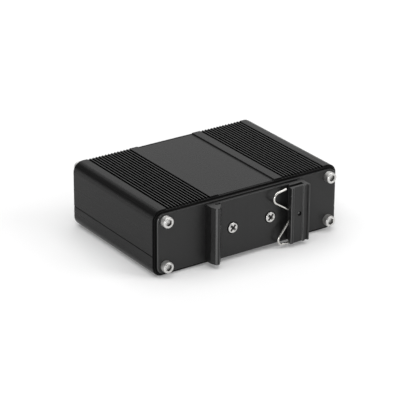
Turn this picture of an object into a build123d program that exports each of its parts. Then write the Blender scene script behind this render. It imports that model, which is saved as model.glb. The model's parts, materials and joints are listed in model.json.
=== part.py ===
"""Ethernet media converter in a ribbed two-piece extruded case with a rail clip.

Millimetres, +Z up. The ports face -Y, the rail clip faces +Y, and the case rests on its floor.
The origin is the middle of the whole part's footprint, on the surface that it rests on.
"""
import os

from build123d import *

os.makedirs("parts", exist_ok=True)

# Case: two extrusions, screwed to a plate at each end
case_width = 89.0
case_height = 28.2
case_length = 57.5
corner_radius = 4.4
side_wall = 2.0
roof = 2.9
floor = 2.2
seam_height = 8.8
seam_gap = 0.15
tongue_thickness = 0.9
tongue_height = 1.5

# Cooling grooves on both sides of a shallow bare recess
groove_count = 14
groove_pitch = 1.484
groove_width = 0.78
groove_depth = 1.1
groove_field_middle = 27.7
recess_width = 27.3
recess_depth = 0.55

# End plates and their gaskets
gasket_thickness = 1.2
gasket_inset = 0.55
gasket_band = 2.8
panel_thickness = 1.0
panel_inset = 1.45
panel_bevel = 0.2

# Socket head screws that hold the plates, and the open channels that they cut into
screw_diameter = 2.8
screw_length = 9.0
head_diameter = 4.65
head_height = 2.84
head_chamfer = 0.28
hex_size = 2.38
hex_depth = 1.4
channel_wall = 1.4
channel_mouth = 1.4
screw_from_side = 5.0
screw_from_top = 4.35
screw_from_bottom = 4.65
thread_clearance = 0.05
hole_clearance = 0.25

# Rail that the clip takes, and the clip's section: widths run along X, reaches out from the rear panel
rail_width = 35.0
rail_thickness = 1.0
rail_play = 0.3
clip_margin = 0.5
clip_relief = 0.55
clip_plate = 1.55
clip_foot = 1.7
hook_slot_x = 17.1
hook_slot_depth = 1.6
hook_undercut = 0.3
hook_root = 3.9
hook_reach = 6.5
hook_nose = 2.1
hook_flank = 2.6
hook_draft = 0.75
hook_tip = 0.35
hook_tip_land = 0.2
land_reach = 3.9
land_lean = 0.7
lip_overhang = 2.2
lip_thickness = 1.25
spring_slot_depth = 5.3
channel_side = 1.9
bead_width = 1.6
bead_height = 0.55
rib_width = 3.1
rib_height = 0.6
rib_groove = 0.6
deep_relief = 1.0

# Spring wire in the channel
wire_diameter = 1.0
wire_clearance = 0.05
wire_end_depth = 1.4
upper_end_drop = 0.5
upper_bump_reach = 6.4
upper_bump_top = 1.2
upper_bump_bottom = 5.1
lower_end_drop = 0.1
lower_bump_reach = 4.4
lower_bump_rise = 2.5
lower_foot_back = 1.1
bump_radius = 2.4
bend_radius = 1.9
apex_radius = 1.0
apex_from_lip = 3.6
pinch_rise = 0.4
punch_from_lip = 4.6
punch_radius = 1.1
punch_depth = 0.5

# Clip screws, sunk into shallow seats, and the nuts clinched into the rear panel
clip_screw_spacing = 18.3
clip_screw_drop = 0.3
clip_seat_diameter = 5.2
clip_seat_depth = 0.5
clip_head_diameter = 4.4
clip_head_height = 1.1
clip_head_crown = 0.35
clip_screw_spare = 0.9
cross_length = 3.1
cross_width = 0.75
cross_depth = 0.8
nut_diameter = 5.6
nut_height = 2.0

# Circuit board, clamped at the seam
board_thickness = 1.6
board_drop = 0.9
board_side_gap = 0.3
board_end_gap = 0.4
board_length = 56.0
ledge_width = 2.2
ledge_height = 1.0
clamp_gap = 0.1
rib_wall = 1.2

# Ethernet jack
jack_x = -1.5
jack_width = 16.0
jack_height = 12.0
jack_depth = 17.5
jack_proud = 0.4
shield_wall = 0.3
socket_width = 11.9
socket_height = 6.9
socket_depth = 13.0
socket_floor = 4.2
latch_width = 6.2
latch_height = 1.6
latch_step_width = 3.6
latch_step_height = 1.0
contact_count = 8
contact_pitch = 1.02
contact_width = 0.36
contact_drop = 2.4
contact_start = 1.2
contact_run = 8.5
contact_thickness = 0.3

# Duplex fibre transceiver
fibre_x = 22.5
fibre_width = 25.4
fibre_height = 10.6
fibre_depth = 39.0
fibre_nose = 3.0
port_pitch = 12.7
port_width = 9.0
port_height = 7.4
port_floor = 1.5
port_depth = 12.0
keyway_width = 2.7
keyway_height = 1.0
sleeve_diameter = 4.6
sleeve_bore = 2.5
sleeve_length = 6.8
fibre_pin_count = 9
fibre_pin_pitch = 2.54
fibre_pin_diameter = 0.6
fibre_pin_setback = 4.0

# Power header
header_x = -29.0
header_width = 12.8
header_height = 7.3
header_depth = 9.2
header_proud = 0.6
header_wall = 0.8
header_back_wall = 2.0
pin_count = 3
pin_pitch = 3.81
pin_size = 1.0
pin_start = 1.5

# Indicator lamps
lamp_x = -15.9
lamp_diameter = 2.9
lamp_pitch = 5.0
lamp_proud = 0.8
lamp_dome = 1.16
lamp_housing_width = 10.2
lamp_housing_height = 10.6
lamp_housing_depth = 7.0
lamp_seat = 5.0

# Electronics on the board: places run from its middle and from its front edge
chip_x, chip_back = -4.0, 39.0
chip_size = 14.0
chip_height = 1.4
chip_lead_count = 11
chip_lead_pitch = 1.0
memory_x, memory_back = 12.0, 46.0
memory_size = 6.0
memory_height = 1.3
memory_lead_count = 4
memory_lead_pitch = 1.27
lead_width = 0.4
lead_reach = 1.0
lead_thickness = 0.2
transformer_x, transformer_back = -1.5, 22.5
transformer_width = 13.0
transformer_length = 9.0
transformer_height = 5.8
transformer_lead_count = 8
transformer_lead_pitch = 1.5
inductor_x, inductor_back = -29.0, 31.0
inductor_size = 8.0
inductor_corner = 1.6
inductor_foot = 1.05
inductor_height = 4.2
inductor_drum = 6.6
capacitor_diameter = 6.3
capacitor_height = 7.7
capacitor_pitch = 8.4
capacitor_x, capacitor_back = -28.0, 18.0
capacitor_base = 0.9
crystal_x, crystal_back = -18.0, 39.0
crystal_length = 11.4
crystal_width = 4.7
crystal_height = 3.5
crystal_rim = 0.5
regulator_x, regulator_back = -30.0, 45.0
regulator_size = 6.5
regulator_height = 2.3
regulator_tab_width = 5.2
regulator_tab_reach = 1.6
regulator_tab_height = 0.9
regulator_lead_pitch = 2.3
regulator_lead_count = 3

# Clearances of the openings round the ports, and how far pins pass below the board
port_clearance = 0.2
pin_clearance = 0.15
pin_below = 1.4

# Places worked out from the sizes above
rail_grip = land_reach + wire_diameter + 2 * wire_clearance
clip_reach = rail_grip + lip_thickness + rib_height
front_reach = gasket_thickness + panel_thickness + max(head_height, fibre_nose)
rear_reach = gasket_thickness + panel_thickness + clip_reach
case_front = front_reach - (front_reach + case_length + rear_reach) / 2
case_back = case_front + case_length
front_face = case_front - gasket_thickness - panel_thickness
rear_face = case_back + gasket_thickness + panel_thickness
middle_height = case_height / 2
inner_half = case_width / 2 - side_wall
roof_underside = case_height - roof
board_bottom = seam_height - board_drop
board_top = board_bottom + board_thickness
board_front = case_front + board_end_gap
panel_width = case_width - 2 * panel_inset
panel_height = case_height - 2 * panel_inset
panel_corner = corner_radius - panel_inset
screw_x = case_width / 2 - screw_from_side
upper_screw_z = case_height - screw_from_top
lower_screw_z = screw_from_bottom
channel_bore = screw_diameter / 2 + thread_clearance
channel_radius = channel_bore + channel_wall
clip_height = panel_height - 2 * clip_margin
clip_bottom = middle_height - clip_height / 2
clip_top = clip_bottom + clip_height
clip_face = clip_relief + clip_plate
clip_seat = rear_face + clip_face - clip_seat_depth
clip_screw_z = middle_height - clip_screw_drop
clip_screw_points = [(-clip_screw_spacing / 2, clip_screw_z), (clip_screw_spacing / 2, clip_screw_z)]
step_x = hook_slot_x - rail_width - rail_play
land_x = step_x + land_lean
lip_x = step_x + lip_overhang
slot_end_x = step_x - spring_slot_depth
channel_x = slot_end_x - channel_side
wire_y = rear_face + land_reach + wire_clearance + wire_diameter / 2
field_reach = rail_grip + lip_thickness
pinch_z = middle_height + pinch_rise
port_bottom = board_top + port_floor

corner_screws = [(x, z) for x in (-screw_x, screw_x) for z in (lower_screw_z, upper_screw_z)]


def facing_front(y):
    """Upright plane at y, drawn in X and Z. A negative extrusion runs to the rear."""
    return Plane.XZ.offset(-y)


def section_outline(inset=0):
    """Outline of the case, drawn smaller by inset all round."""
    with Locations((0, middle_height)):
        RectangleRounded(case_width - 2 * inset, case_height - 2 * inset, corner_radius - inset)


def screw_channels(height):
    """Two screw channels at one height, each open along its inner side."""
    for side in (-1, 1):
        with Locations((side * screw_x, height)):
            Circle(channel_radius)
        with Locations((side * screw_x, height)):
            Circle(channel_bore, mode=Mode.SUBTRACT)
        with Locations((side * (screw_x - channel_radius / 2), height)):
            Rectangle(channel_radius, channel_mouth, mode=Mode.SUBTRACT)


# Upper casing
with BuildPart() as upper_casing:
    with BuildSketch(facing_front(case_front)):
        section_outline()
        with Locations((0, roof_underside / 2)):
            Rectangle(2 * inner_half, roof_underside, mode=Mode.SUBTRACT)
        screw_channels(upper_screw_z)
        clamp_bottom = board_top + clamp_gap
        clamp_top = seam_height + tongue_height + seam_gap + rib_wall
        clamp_inner = inner_half - ledge_width
        for side in (-1, 1):
            # Ledge above the tongue, with a leg that presses on the board's edge
            with Locations((side * (inner_half + clamp_inner) / 2, clamp_top - rib_wall / 2)):
                Rectangle(ledge_width, rib_wall)
            with Locations((side * (clamp_inner + rib_wall / 2), (clamp_bottom + clamp_top) / 2)):
                Rectangle(rib_wall, clamp_top - clamp_bottom)
            # Rebate for the lower casing's tongue
            rebate = tongue_thickness + seam_gap
            with Locations((side * (inner_half + rebate / 2), (seam_height + tongue_height + seam_gap) / 2)):
                Rectangle(rebate, seam_height + tongue_height + seam_gap, mode=Mode.SUBTRACT)
            # Everything outside the rebate ends at the seam
            with Locations((side * case_width / 2, (seam_height + seam_gap) / 2)):
                Rectangle(2 * side_wall, seam_height + seam_gap, mode=Mode.SUBTRACT)
            # Cooling grooves
            with Locations((side * groove_field_middle, case_height)):
                with GridLocations(groove_pitch, 0, groove_count, 1):
                    Rectangle(groove_width, 2 * groove_depth, mode=Mode.SUBTRACT)
        with Locations((0, case_height)):
            Rectangle(recess_width, 2 * recess_depth, mode=Mode.SUBTRACT)
    extrude(amount=-case_length)
upper_casing.part.label = "upper_casing"
export_step(upper_casing.part, "parts/upper_casing.step")


# Lower casing
with BuildPart() as lower_casing:
    with BuildSketch(facing_front(case_front)):
        section_outline()
        with Locations((0, floor + case_height / 2)):
            Rectangle(2 * inner_half, case_height, mode=Mode.SUBTRACT)
        with Locations((0, seam_height + case_height / 2)):
            Rectangle(case_width, case_height, mode=Mode.SUBTRACT)
        screw_channels(lower_screw_z)
        for side in (-1, 1):
            with Locations((side * (inner_half - ledge_width / 2), board_bottom - ledge_height / 2)):
                Rectangle(ledge_width, ledge_height)
            with Locations((side * (inner_half + tongue_thickness / 2), seam_height + tongue_height / 2)):
                Rectangle(tongue_thickness, tongue_height)
    extrude(amount=-case_length)
lower_casing.part.label = "lower_casing"
export_step(lower_casing.part, "parts/lower_casing.step")


def gasket(name, y):
    """Ring between the case's end at y and its plate, wider round the screws."""
    with BuildPart() as ring:
        with BuildSketch(facing_front(y)):
            section_outline(gasket_inset)
            with Locations((0, middle_height)):
                inner_width = case_width - 2 * gasket_inset - 2 * gasket_band
                inner_height = case_height - 2 * gasket_inset - 2 * gasket_band
                Rectangle(inner_width, inner_height, mode=Mode.SUBTRACT)
            with Locations(*corner_screws):
                Circle(channel_radius)
            with Locations(*corner_screws):
                Circle(screw_diameter / 2 + hole_clearance, mode=Mode.SUBTRACT)
        extrude(amount=-gasket_thickness)
    ring.part.label = name
    export_step(ring.part, f"parts/{name}.step")
    return ring


front_gasket = gasket("front_gasket", case_front - gasket_thickness)
rear_gasket = gasket("rear_gasket", case_back)


def panel_blank():
    """Plate outline with its four screw holes."""
    with Locations((0, middle_height)):
        RectangleRounded(panel_width, panel_height, panel_corner)
    with Locations(*corner_screws):
        Circle(screw_diameter / 2 + hole_clearance, mode=Mode.SUBTRACT)


# Rear panel, which carries the clip
with BuildPart() as rear_panel:
    with BuildSketch(facing_front(rear_face - panel_thickness)):
        panel_blank()
        with Locations(*clip_screw_points):
            Circle(screw_diameter / 2 + hole_clearance, mode=Mode.SUBTRACT)
    extrude(amount=-panel_thickness)
    outer_rim = rear_panel.faces().sort_by(Axis.Y)[-1].outer_wire().edges()
    chamfer(outer_rim, panel_bevel)
rear_panel.part.label = "rear_panel"
export_step(rear_panel.part, "parts/rear_panel.step")


# Front panel, with an opening round each port
with BuildPart() as front_panel:
    with BuildSketch(facing_front(front_face)):
        panel_blank()
        for x, width, height in (
            (jack_x, jack_width, jack_height),
            (fibre_x, fibre_width, fibre_height),
            (header_x, header_width, header_height),
        ):
            with Locations((x, board_top + height / 2)):
                Rectangle(width + 2 * port_clearance, height + 2 * port_clearance, mode=Mode.SUBTRACT)
        with Locations((lamp_x, board_top + lamp_housing_height / 2)):
            with GridLocations(lamp_pitch, lamp_pitch, 2, 2):
                Circle(lamp_diameter / 2 + port_clearance, mode=Mode.SUBTRACT)
    extrude(amount=-panel_thickness)
    outer_rim = front_panel.faces().sort_by(Axis.Y)[0].outer_wire().edges()
    chamfer(outer_rim, panel_bevel)
front_panel.part.label = "front_panel"
export_step(front_panel.part, "parts/front_panel.step")


def panel_screws(name, seat, outward):
    """Four socket head screws. The heads sit at y = seat and stand outward, 1 for +Y or -1."""
    with BuildPart() as screws:
        with BuildSketch(facing_front(seat)):
            with Locations(*corner_screws):
                Circle(head_diameter / 2)
        extrude(amount=-outward * head_height)
        crown = screws.edges().filter_by(GeomType.CIRCLE).filter_by_position(
            Axis.Y, *sorted((seat + outward * head_height / 2, seat + outward * 2 * head_height)))
        chamfer(crown, head_chamfer)
        with BuildSketch(facing_front(seat)):
            with Locations(*corner_screws):
                Circle(screw_diameter / 2)
        extrude(amount=outward * screw_length)
        with BuildSketch(facing_front(seat + outward * head_height)):
            with Locations(*corner_screws):
                RegularPolygon(hex_size / 2, 6, major_radius=False)
        extrude(amount=outward * hex_depth, mode=Mode.SUBTRACT)
    screws.part.label = name
    export_step(screws.part, f"parts/{name}.step")
    return screws


front_panel_screws = panel_screws("front_panel_screws", front_face, -1)
rear_panel_screws = panel_screws("rear_panel_screws", rear_face, 1)


# Rail clip: one extrusion, standing on two feet on the rear panel
with BuildPart() as din_clip:
    with BuildSketch(Plane((0, rear_face, clip_bottom))):
        hook_side = hook_slot_x + hook_root
        foot_inner = hook_side - clip_foot
        with BuildLine():
            Polyline(
                (hook_side, 0),
                (hook_side, hook_reach - hook_flank),
                (hook_side - hook_draft, hook_reach),
                (hook_side - hook_draft - hook_nose, hook_reach),
                (hook_slot_x - hook_slot_depth, clip_face + rail_thickness + hook_tip),
                (hook_slot_x - hook_slot_depth + hook_tip_land, clip_face + rail_thickness),
                (hook_slot_x, clip_face + rail_thickness),
                (hook_slot_x, clip_face - hook_undercut),
                (hook_slot_x - hook_slot_depth, clip_face - hook_undercut),
                (hook_slot_x - hook_slot_depth - hook_undercut, clip_face),
                (step_x, clip_face),
                (land_x, land_reach),
                (slot_end_x, land_reach),
                (slot_end_x, rail_grip),
                (lip_x, rail_grip),
                (lip_x, field_reach + bead_height),
                (lip_x - bead_width, field_reach + bead_height),
                (lip_x - bead_width - bead_height / 2, field_reach),
                (channel_x + rib_width + rib_height / 2, field_reach),
                (channel_x + rib_width, field_reach + rib_height),
                (channel_x, field_reach + rib_height),
                (channel_x, 0),
                (channel_x + channel_side, 0),
                (channel_x + channel_side, deep_relief),
                (step_x - deep_relief, deep_relief),
                (step_x - deep_relief + clip_relief, clip_relief),
                (foot_inner, clip_relief),
                (foot_inner, 0),
                close=True,
            )
        make_face()
        with Locations((channel_x + rib_width / 2, field_reach + rib_height)):
            Circle(rib_groove, mode=Mode.SUBTRACT)
    extrude(amount=clip_height)
    with BuildSketch(facing_front(rear_face)):
        with Locations(*clip_screw_points):
            Circle(screw_diameter / 2 + hole_clearance)
    extrude(amount=-clip_face, mode=Mode.SUBTRACT)
    with BuildSketch(facing_front(clip_seat)):
        with Locations(*clip_screw_points):
            Circle(clip_seat_diameter / 2)
    extrude(amount=-clip_seat_depth, mode=Mode.SUBTRACT)
    punch_y = rear_face + field_reach + punch_radius - punch_depth
    with Locations((lip_x - punch_from_lip, punch_y, pinch_z)):
        Sphere(punch_radius, mode=Mode.SUBTRACT)
din_clip.part.label = "din_clip"
export_step(din_clip.part, "parts/din_clip.step")


# Spring wire: two bumps of one bent wire, its middle bend held in the slot by the punch mark
with BuildPart() as clip_spring:
    wire_end_x = lip_x - wire_end_depth
    upper_x = lip_x + upper_bump_reach
    lower_x = lip_x + lower_bump_reach
    with BuildLine(facing_front(wire_y)) as wire_path:
        FilletPolyline(
            (wire_end_x, clip_top - upper_end_drop),
            (upper_x, clip_top - upper_bump_top),
            (upper_x, clip_top - upper_bump_bottom),
            (lip_x - apex_from_lip, pinch_z),
            (lower_x, clip_bottom + lower_bump_rise),
            (lower_x - lower_foot_back, clip_bottom - lower_end_drop),
            (wire_end_x, clip_bottom - lower_end_drop),
            radius=[bump_radius, bump_radius, apex_radius, bend_radius, bend_radius],
        )
    with BuildSketch(Plane(wire_path.line @ 0, z_dir=wire_path.line % 0)):
        Circle(wire_diameter / 2)
    sweep()
clip_spring.part.label = "clip_spring"
export_step(clip_spring.part, "parts/clip_spring.step")


# Clip screws
with BuildPart() as clip_screws:
    clip_screw_length = clip_seat - rear_face + panel_thickness + nut_height + clip_screw_spare
    with BuildSketch(facing_front(clip_seat)):
        with Locations(*clip_screw_points):
            Circle(clip_head_diameter / 2)
    extrude(amount=-clip_head_height)
    crown = clip_screws.edges().filter_by(GeomType.CIRCLE).group_by(Axis.Y)[-1]
    fillet(crown, clip_head_crown)
    with BuildSketch(facing_front(clip_seat)):
        with Locations(*clip_screw_points):
            Circle(screw_diameter / 2)
    extrude(amount=clip_screw_length)
    with BuildSketch(facing_front(clip_seat + clip_head_height)):
        with Locations(*clip_screw_points):
            Rectangle(cross_length, cross_width, rotation=45)
            Rectangle(cross_length, cross_width, rotation=-45)
    extrude(amount=cross_depth, mode=Mode.SUBTRACT)
clip_screws.part.label = "clip_screws"
export_step(clip_screws.part, "parts/clip_screws.step")


# Clinch nuts on the inner face of the rear panel
with BuildPart() as clip_nuts:
    with BuildSketch(facing_front(rear_face - panel_thickness)):
        with Locations(*clip_screw_points):
            Circle(nut_diameter / 2)
        with Locations(*clip_screw_points):
            Circle(channel_bore, mode=Mode.SUBTRACT)
    extrude(amount=nut_height)
clip_nuts.part.label = "clip_nuts"
export_step(clip_nuts.part, "parts/clip_nuts.step")


# Circuit board, with a hole for each pin that passes through it
jack_front = front_face - jack_proud
fibre_front = front_face - fibre_nose
header_front = front_face - header_proud
fibre_pin_y = fibre_front + fibre_depth - fibre_pin_setback
header_pin_y = header_front + header_depth + pin_size
with BuildPart() as circuit_board:
    with BuildSketch(Plane.XY.offset(board_bottom)):
        with Locations((0, board_front + board_length / 2)):
            Rectangle(2 * (inner_half - board_side_gap), board_length)
        with Locations((fibre_x, fibre_pin_y)):
            with GridLocations(fibre_pin_pitch, 0, fibre_pin_count, 1):
                Circle(fibre_pin_diameter / 2 + pin_clearance, mode=Mode.SUBTRACT)
        with Locations((header_x, header_pin_y)):
            with GridLocations(pin_pitch, 0, pin_count, 1):
                Rectangle(pin_size + 2 * pin_clearance, pin_size + 2 * pin_clearance, mode=Mode.SUBTRACT)
    extrude(amount=board_thickness)
circuit_board.part.label = "circuit_board"
export_step(circuit_board.part, "parts/circuit_board.step")


# Ethernet jack: folded shield, open at the front and underneath
with BuildPart() as ethernet_jack_shield:
    with BuildSketch(facing_front(jack_front)):
        with Locations((jack_x, board_top + jack_height / 2)):
            Rectangle(jack_width, jack_height)
    extrude(amount=-jack_depth)
    with BuildSketch(facing_front(jack_front)):
        with Locations((jack_x, board_top + (jack_height - shield_wall) / 2)):
            Rectangle(jack_width - 2 * shield_wall, jack_height - shield_wall)
    extrude(amount=-(jack_depth - shield_wall), mode=Mode.SUBTRACT)
ethernet_jack_shield.part.label = "ethernet_jack_shield"
export_step(ethernet_jack_shield.part, "parts/ethernet_jack_shield.step")

with BuildPart() as ethernet_jack_insert:
    with BuildSketch(facing_front(jack_front)):
        with Locations((jack_x, board_top + (jack_height - shield_wall) / 2)):
            Rectangle(jack_width - 2 * shield_wall, jack_height - shield_wall)
    extrude(amount=-(jack_depth - shield_wall))
    with BuildSketch(facing_front(jack_front)):
        with Locations((jack_x, board_top + socket_floor + socket_height / 2)):
            Rectangle(socket_width, socket_height)
        latch_bottom = socket_floor - latch_height
        with Locations((jack_x, board_top + latch_bottom + latch_height / 2)):
            Rectangle(latch_width, latch_height)
        with Locations((jack_x, board_top + latch_bottom - latch_step_height / 2)):
            Rectangle(latch_step_width, latch_step_height)
    extrude(amount=-socket_depth, mode=Mode.SUBTRACT)
ethernet_jack_insert.part.label = "ethernet_jack_insert"
export_step(ethernet_jack_insert.part, "parts/ethernet_jack_insert.step")

with BuildPart() as ethernet_jack_contacts:
    socket_ceiling = board_top + socket_floor + socket_height
    start_y = jack_front + contact_start
    with BuildSketch(Plane.YZ.offset(jack_x - contact_width / 2)) as contact_side:
        with BuildLine():
            Polyline(
                (start_y, socket_ceiling),
                (start_y + contact_run, socket_ceiling - contact_drop),
                (start_y + contact_run, socket_ceiling - contact_drop + contact_thickness),
                (start_y + 2 * contact_thickness, socket_ceiling),
                close=True,
            )
        make_face()
    with GridLocations(contact_pitch, 0, contact_count, 1):
        add(extrude(contact_side.sketch, amount=contact_width, mode=Mode.PRIVATE))
ethernet_jack_contacts.part.label = "ethernet_jack_contacts"
export_step(ethernet_jack_contacts.part, "parts/ethernet_jack_contacts.step")


# Fibre transceiver: a moulded block with two keyed ports
with BuildPart() as fibre_transceiver:
    with BuildSketch(facing_front(fibre_front)):
        with Locations((fibre_x, board_top + fibre_height / 2)):
            Rectangle(fibre_width, fibre_height)
    extrude(amount=-fibre_depth)
    with BuildSketch(facing_front(fibre_front)):
        with Locations((fibre_x, port_bottom + port_height / 2)):
            with GridLocations(port_pitch, 0, 2, 1):
                Rectangle(port_width, port_height)
        with Locations((fibre_x, port_bottom + port_height + keyway_height / 2)):
            with GridLocations(port_pitch, 0, 2, 1):
                Rectangle(keyway_width, keyway_height)
    extrude(amount=-port_depth, mode=Mode.SUBTRACT)
fibre_transceiver.part.label = "fibre_transceiver"
export_step(fibre_transceiver.part, "parts/fibre_transceiver.step")

with BuildPart() as fibre_sleeves:
    with BuildSketch(facing_front(fibre_front + port_depth)):
        with Locations((fibre_x, port_bottom + port_height / 2)):
            with GridLocations(port_pitch, 0, 2, 1):
                Circle(sleeve_diameter / 2)
            with GridLocations(port_pitch, 0, 2, 1):
                Circle(sleeve_bore / 2, mode=Mode.SUBTRACT)
    extrude(amount=sleeve_length)
fibre_sleeves.part.label = "fibre_sleeves"
export_step(fibre_sleeves.part, "parts/fibre_sleeves.step")

with BuildPart() as fibre_pins:
    with BuildSketch(Plane.XY.offset(board_bottom - pin_below)):
        with Locations((fibre_x, fibre_pin_y)):
            with GridLocations(fibre_pin_pitch, 0, fibre_pin_count, 1):
                Circle(fibre_pin_diameter / 2)
    extrude(amount=board_thickness + pin_below)
fibre_pins.part.label = "fibre_pins"
export_step(fibre_pins.part, "parts/fibre_pins.step")


# Power header: a shroud round three bent pins
header_middle = board_top + header_height / 2
with BuildPart() as power_header:
    with BuildSketch(facing_front(header_front)):
        with Locations((header_x, header_middle)):
            Rectangle(header_width, header_height)
    extrude(amount=-header_depth)
    with BuildSketch(facing_front(header_front)):
        with Locations((header_x, header_middle)):
            Rectangle(header_width - 2 * header_wall, header_height - 2 * header_wall)
    extrude(amount=-(header_depth - header_back_wall), mode=Mode.SUBTRACT)
    with BuildSketch(facing_front(header_front)):
        with Locations((header_x, header_middle)):
            with GridLocations(pin_pitch, 0, pin_count, 1):
                Rectangle(pin_size, pin_size)
    extrude(amount=-header_depth, mode=Mode.SUBTRACT)
power_header.part.label = "power_header"
export_step(power_header.part, "parts/power_header.step")

with BuildPart() as power_pins:
    with BuildSketch(Plane.YZ.offset(header_x - pin_size / 2)) as pin_side:
        with BuildLine():
            Polyline(
                (header_front + pin_start, header_middle - pin_size / 2),
                (header_front + pin_start, header_middle + pin_size / 2),
                (header_pin_y + pin_size / 2, header_middle + pin_size / 2),
                (header_pin_y + pin_size / 2, board_bottom - pin_below),
                (header_pin_y - pin_size / 2, board_bottom - pin_below),
                (header_pin_y - pin_size / 2, header_middle - pin_size / 2),
                close=True,
            )
        make_face()
    with GridLocations(pin_pitch, 0, pin_count, 1):
        add(extrude(pin_side.sketch, amount=pin_size, mode=Mode.PRIVATE))
power_pins.part.label = "power_pins"
export_step(power_pins.part, "parts/power_pins.step")


# Indicator lamps in their holder
lamp_back = board_front + lamp_seat
lamp_front = front_face - lamp_proud
lamp_middle = board_top + lamp_housing_height / 2
with BuildPart() as indicator_housing:
    with BuildSketch(facing_front(board_front)):
        with Locations((lamp_x, lamp_middle)):
            Rectangle(lamp_housing_width, lamp_housing_height)
    extrude(amount=-lamp_housing_depth)
    with BuildSketch(facing_front(board_front)):
        with Locations((lamp_x, lamp_middle)):
            with GridLocations(lamp_pitch, lamp_pitch, 2, 2):
                Circle(lamp_diameter / 2 + thread_clearance)
    extrude(amount=-lamp_seat, mode=Mode.SUBTRACT)
indicator_housing.part.label = "indicator_housing"
export_step(indicator_housing.part, "parts/indicator_housing.step")

with BuildPart() as indicator_lamps:
    with BuildSketch(facing_front(lamp_back)):
        with Locations((lamp_x, lamp_middle)):
            with GridLocations(lamp_pitch, lamp_pitch, 2, 2):
                Circle(lamp_diameter / 2)
    extrude(amount=lamp_back - lamp_front)
    domes = indicator_lamps.edges().filter_by(GeomType.CIRCLE).group_by(Axis.Y)[0]
    fillet(domes, lamp_dome)
indicator_lamps.part.label = "indicator_lamps"
export_step(indicator_lamps.part, "parts/indicator_lamps.step")


def flat_chip(name, x, back, width, length, height, leads, pitch, four_sided=False):
    """Moulded body on the board, with flat leads to its front and rear or to all four sides."""
    with BuildPart() as chip:
        with BuildSketch(Plane.XY.offset(board_top)):
            with Locations((x, board_front + back)):
                with GridLocations(pitch, 0, leads, 1):
                    Rectangle(lead_width, length + 2 * lead_reach)
                if four_sided:
                    with GridLocations(0, pitch, 1, leads):
                        Rectangle(width + 2 * lead_reach, lead_width)
        extrude(amount=lead_thickness)
        with BuildSketch(Plane.XY.offset(board_top)):
            with Locations((x, board_front + back)):
                Rectangle(width, length)
        extrude(amount=height)
    chip.part.label = name
    export_step(chip.part, f"parts/{name}.step")
    return chip


# Chips and the isolation transformer
converter_chip = flat_chip(
    "converter_chip", chip_x, chip_back, chip_size, chip_size, chip_height,
    chip_lead_count, chip_lead_pitch, four_sided=True)
memory_chip = flat_chip(
    "memory_chip", memory_x, memory_back, memory_size, memory_size, memory_height,
    memory_lead_count, memory_lead_pitch)
isolation_transformer = flat_chip(
    "isolation_transformer", transformer_x, transformer_back, transformer_width, transformer_length,
    transformer_height, transformer_lead_count, transformer_lead_pitch)


# Power inductor: a drum on a square foot
with BuildPart() as power_inductor:
    with BuildSketch(Plane.XY.offset(board_top)):
        with Locations((inductor_x, board_front + inductor_back)):
            RectangleRounded(inductor_size, inductor_size, inductor_corner)
    extrude(amount=inductor_foot)
    with BuildSketch(Plane.XY.offset(board_top)):
        with Locations((inductor_x, board_front + inductor_back)):
            Circle(inductor_drum / 2)
    extrude(amount=inductor_height)
power_inductor.part.label = "power_inductor"
export_step(power_inductor.part, "parts/power_inductor.step")


# Supply capacitors: cans on square feet
with BuildPart() as supply_capacitors:
    with BuildSketch(Plane.XY.offset(board_top)):
        with Locations((capacitor_x, board_front + capacitor_back)):
            with GridLocations(capacitor_pitch, 0, 2, 1):
                Rectangle(capacitor_diameter, capacitor_diameter)
    extrude(amount=capacitor_base)
    with BuildSketch(Plane.XY.offset(board_top)):
        with Locations((capacitor_x, board_front + capacitor_back)):
            with GridLocations(capacitor_pitch, 0, 2, 1):
                Circle(capacitor_diameter / 2)
    extrude(amount=capacitor_height)
supply_capacitors.part.label = "supply_capacitors"
export_step(supply_capacitors.part, "parts/supply_capacitors.step")


# Clock crystal: a can with a rim
with BuildPart() as clock_crystal:
    with BuildSketch(Plane.XY.offset(board_top)):
        with Locations((crystal_x, board_front + crystal_back)):
            SlotOverall(crystal_length, crystal_width, rotation=90)
    extrude(amount=crystal_rim)
    with BuildSketch(Plane.XY.offset(board_top)):
        with Locations((crystal_x, board_front + crystal_back)):
            SlotOverall(crystal_length - 2 * crystal_rim, crystal_width - 2 * crystal_rim, rotation=90)
    extrude(amount=crystal_height)
clock_crystal.part.label = "clock_crystal"
export_step(clock_crystal.part, "parts/clock_crystal.step")


# Voltage regulator: a body between its tab and its leads
with BuildPart() as voltage_regulator:
    with BuildSketch(Plane.XY.offset(board_top)):
        with Locations((regulator_x, board_front + regulator_back)):
            Rectangle(regulator_size, regulator_size)
    extrude(amount=regulator_height)
    with BuildSketch(Plane.XY.offset(board_top)):
        with Locations((regulator_x, board_front + regulator_back + regulator_size / 2)):
            Rectangle(regulator_tab_width, 2 * regulator_tab_reach)
    extrude(amount=regulator_tab_height)
    with BuildSketch(Plane.XY.offset(board_top)):
        with Locations((regulator_x, board_front + regulator_back - regulator_size / 2)):
            with GridLocations(regulator_lead_pitch, 0, regulator_lead_count, 1):
                Rectangle(lead_width, 2 * lead_reach)
    extrude(amount=lead_thickness)
voltage_regulator.part.label = "voltage_regulator"
export_step(voltage_regulator.part, "parts/voltage_regulator.step")
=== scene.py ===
import json
import math

import bmesh
import bpy
import numpy as np
from mathutils import Matrix, Vector

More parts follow.
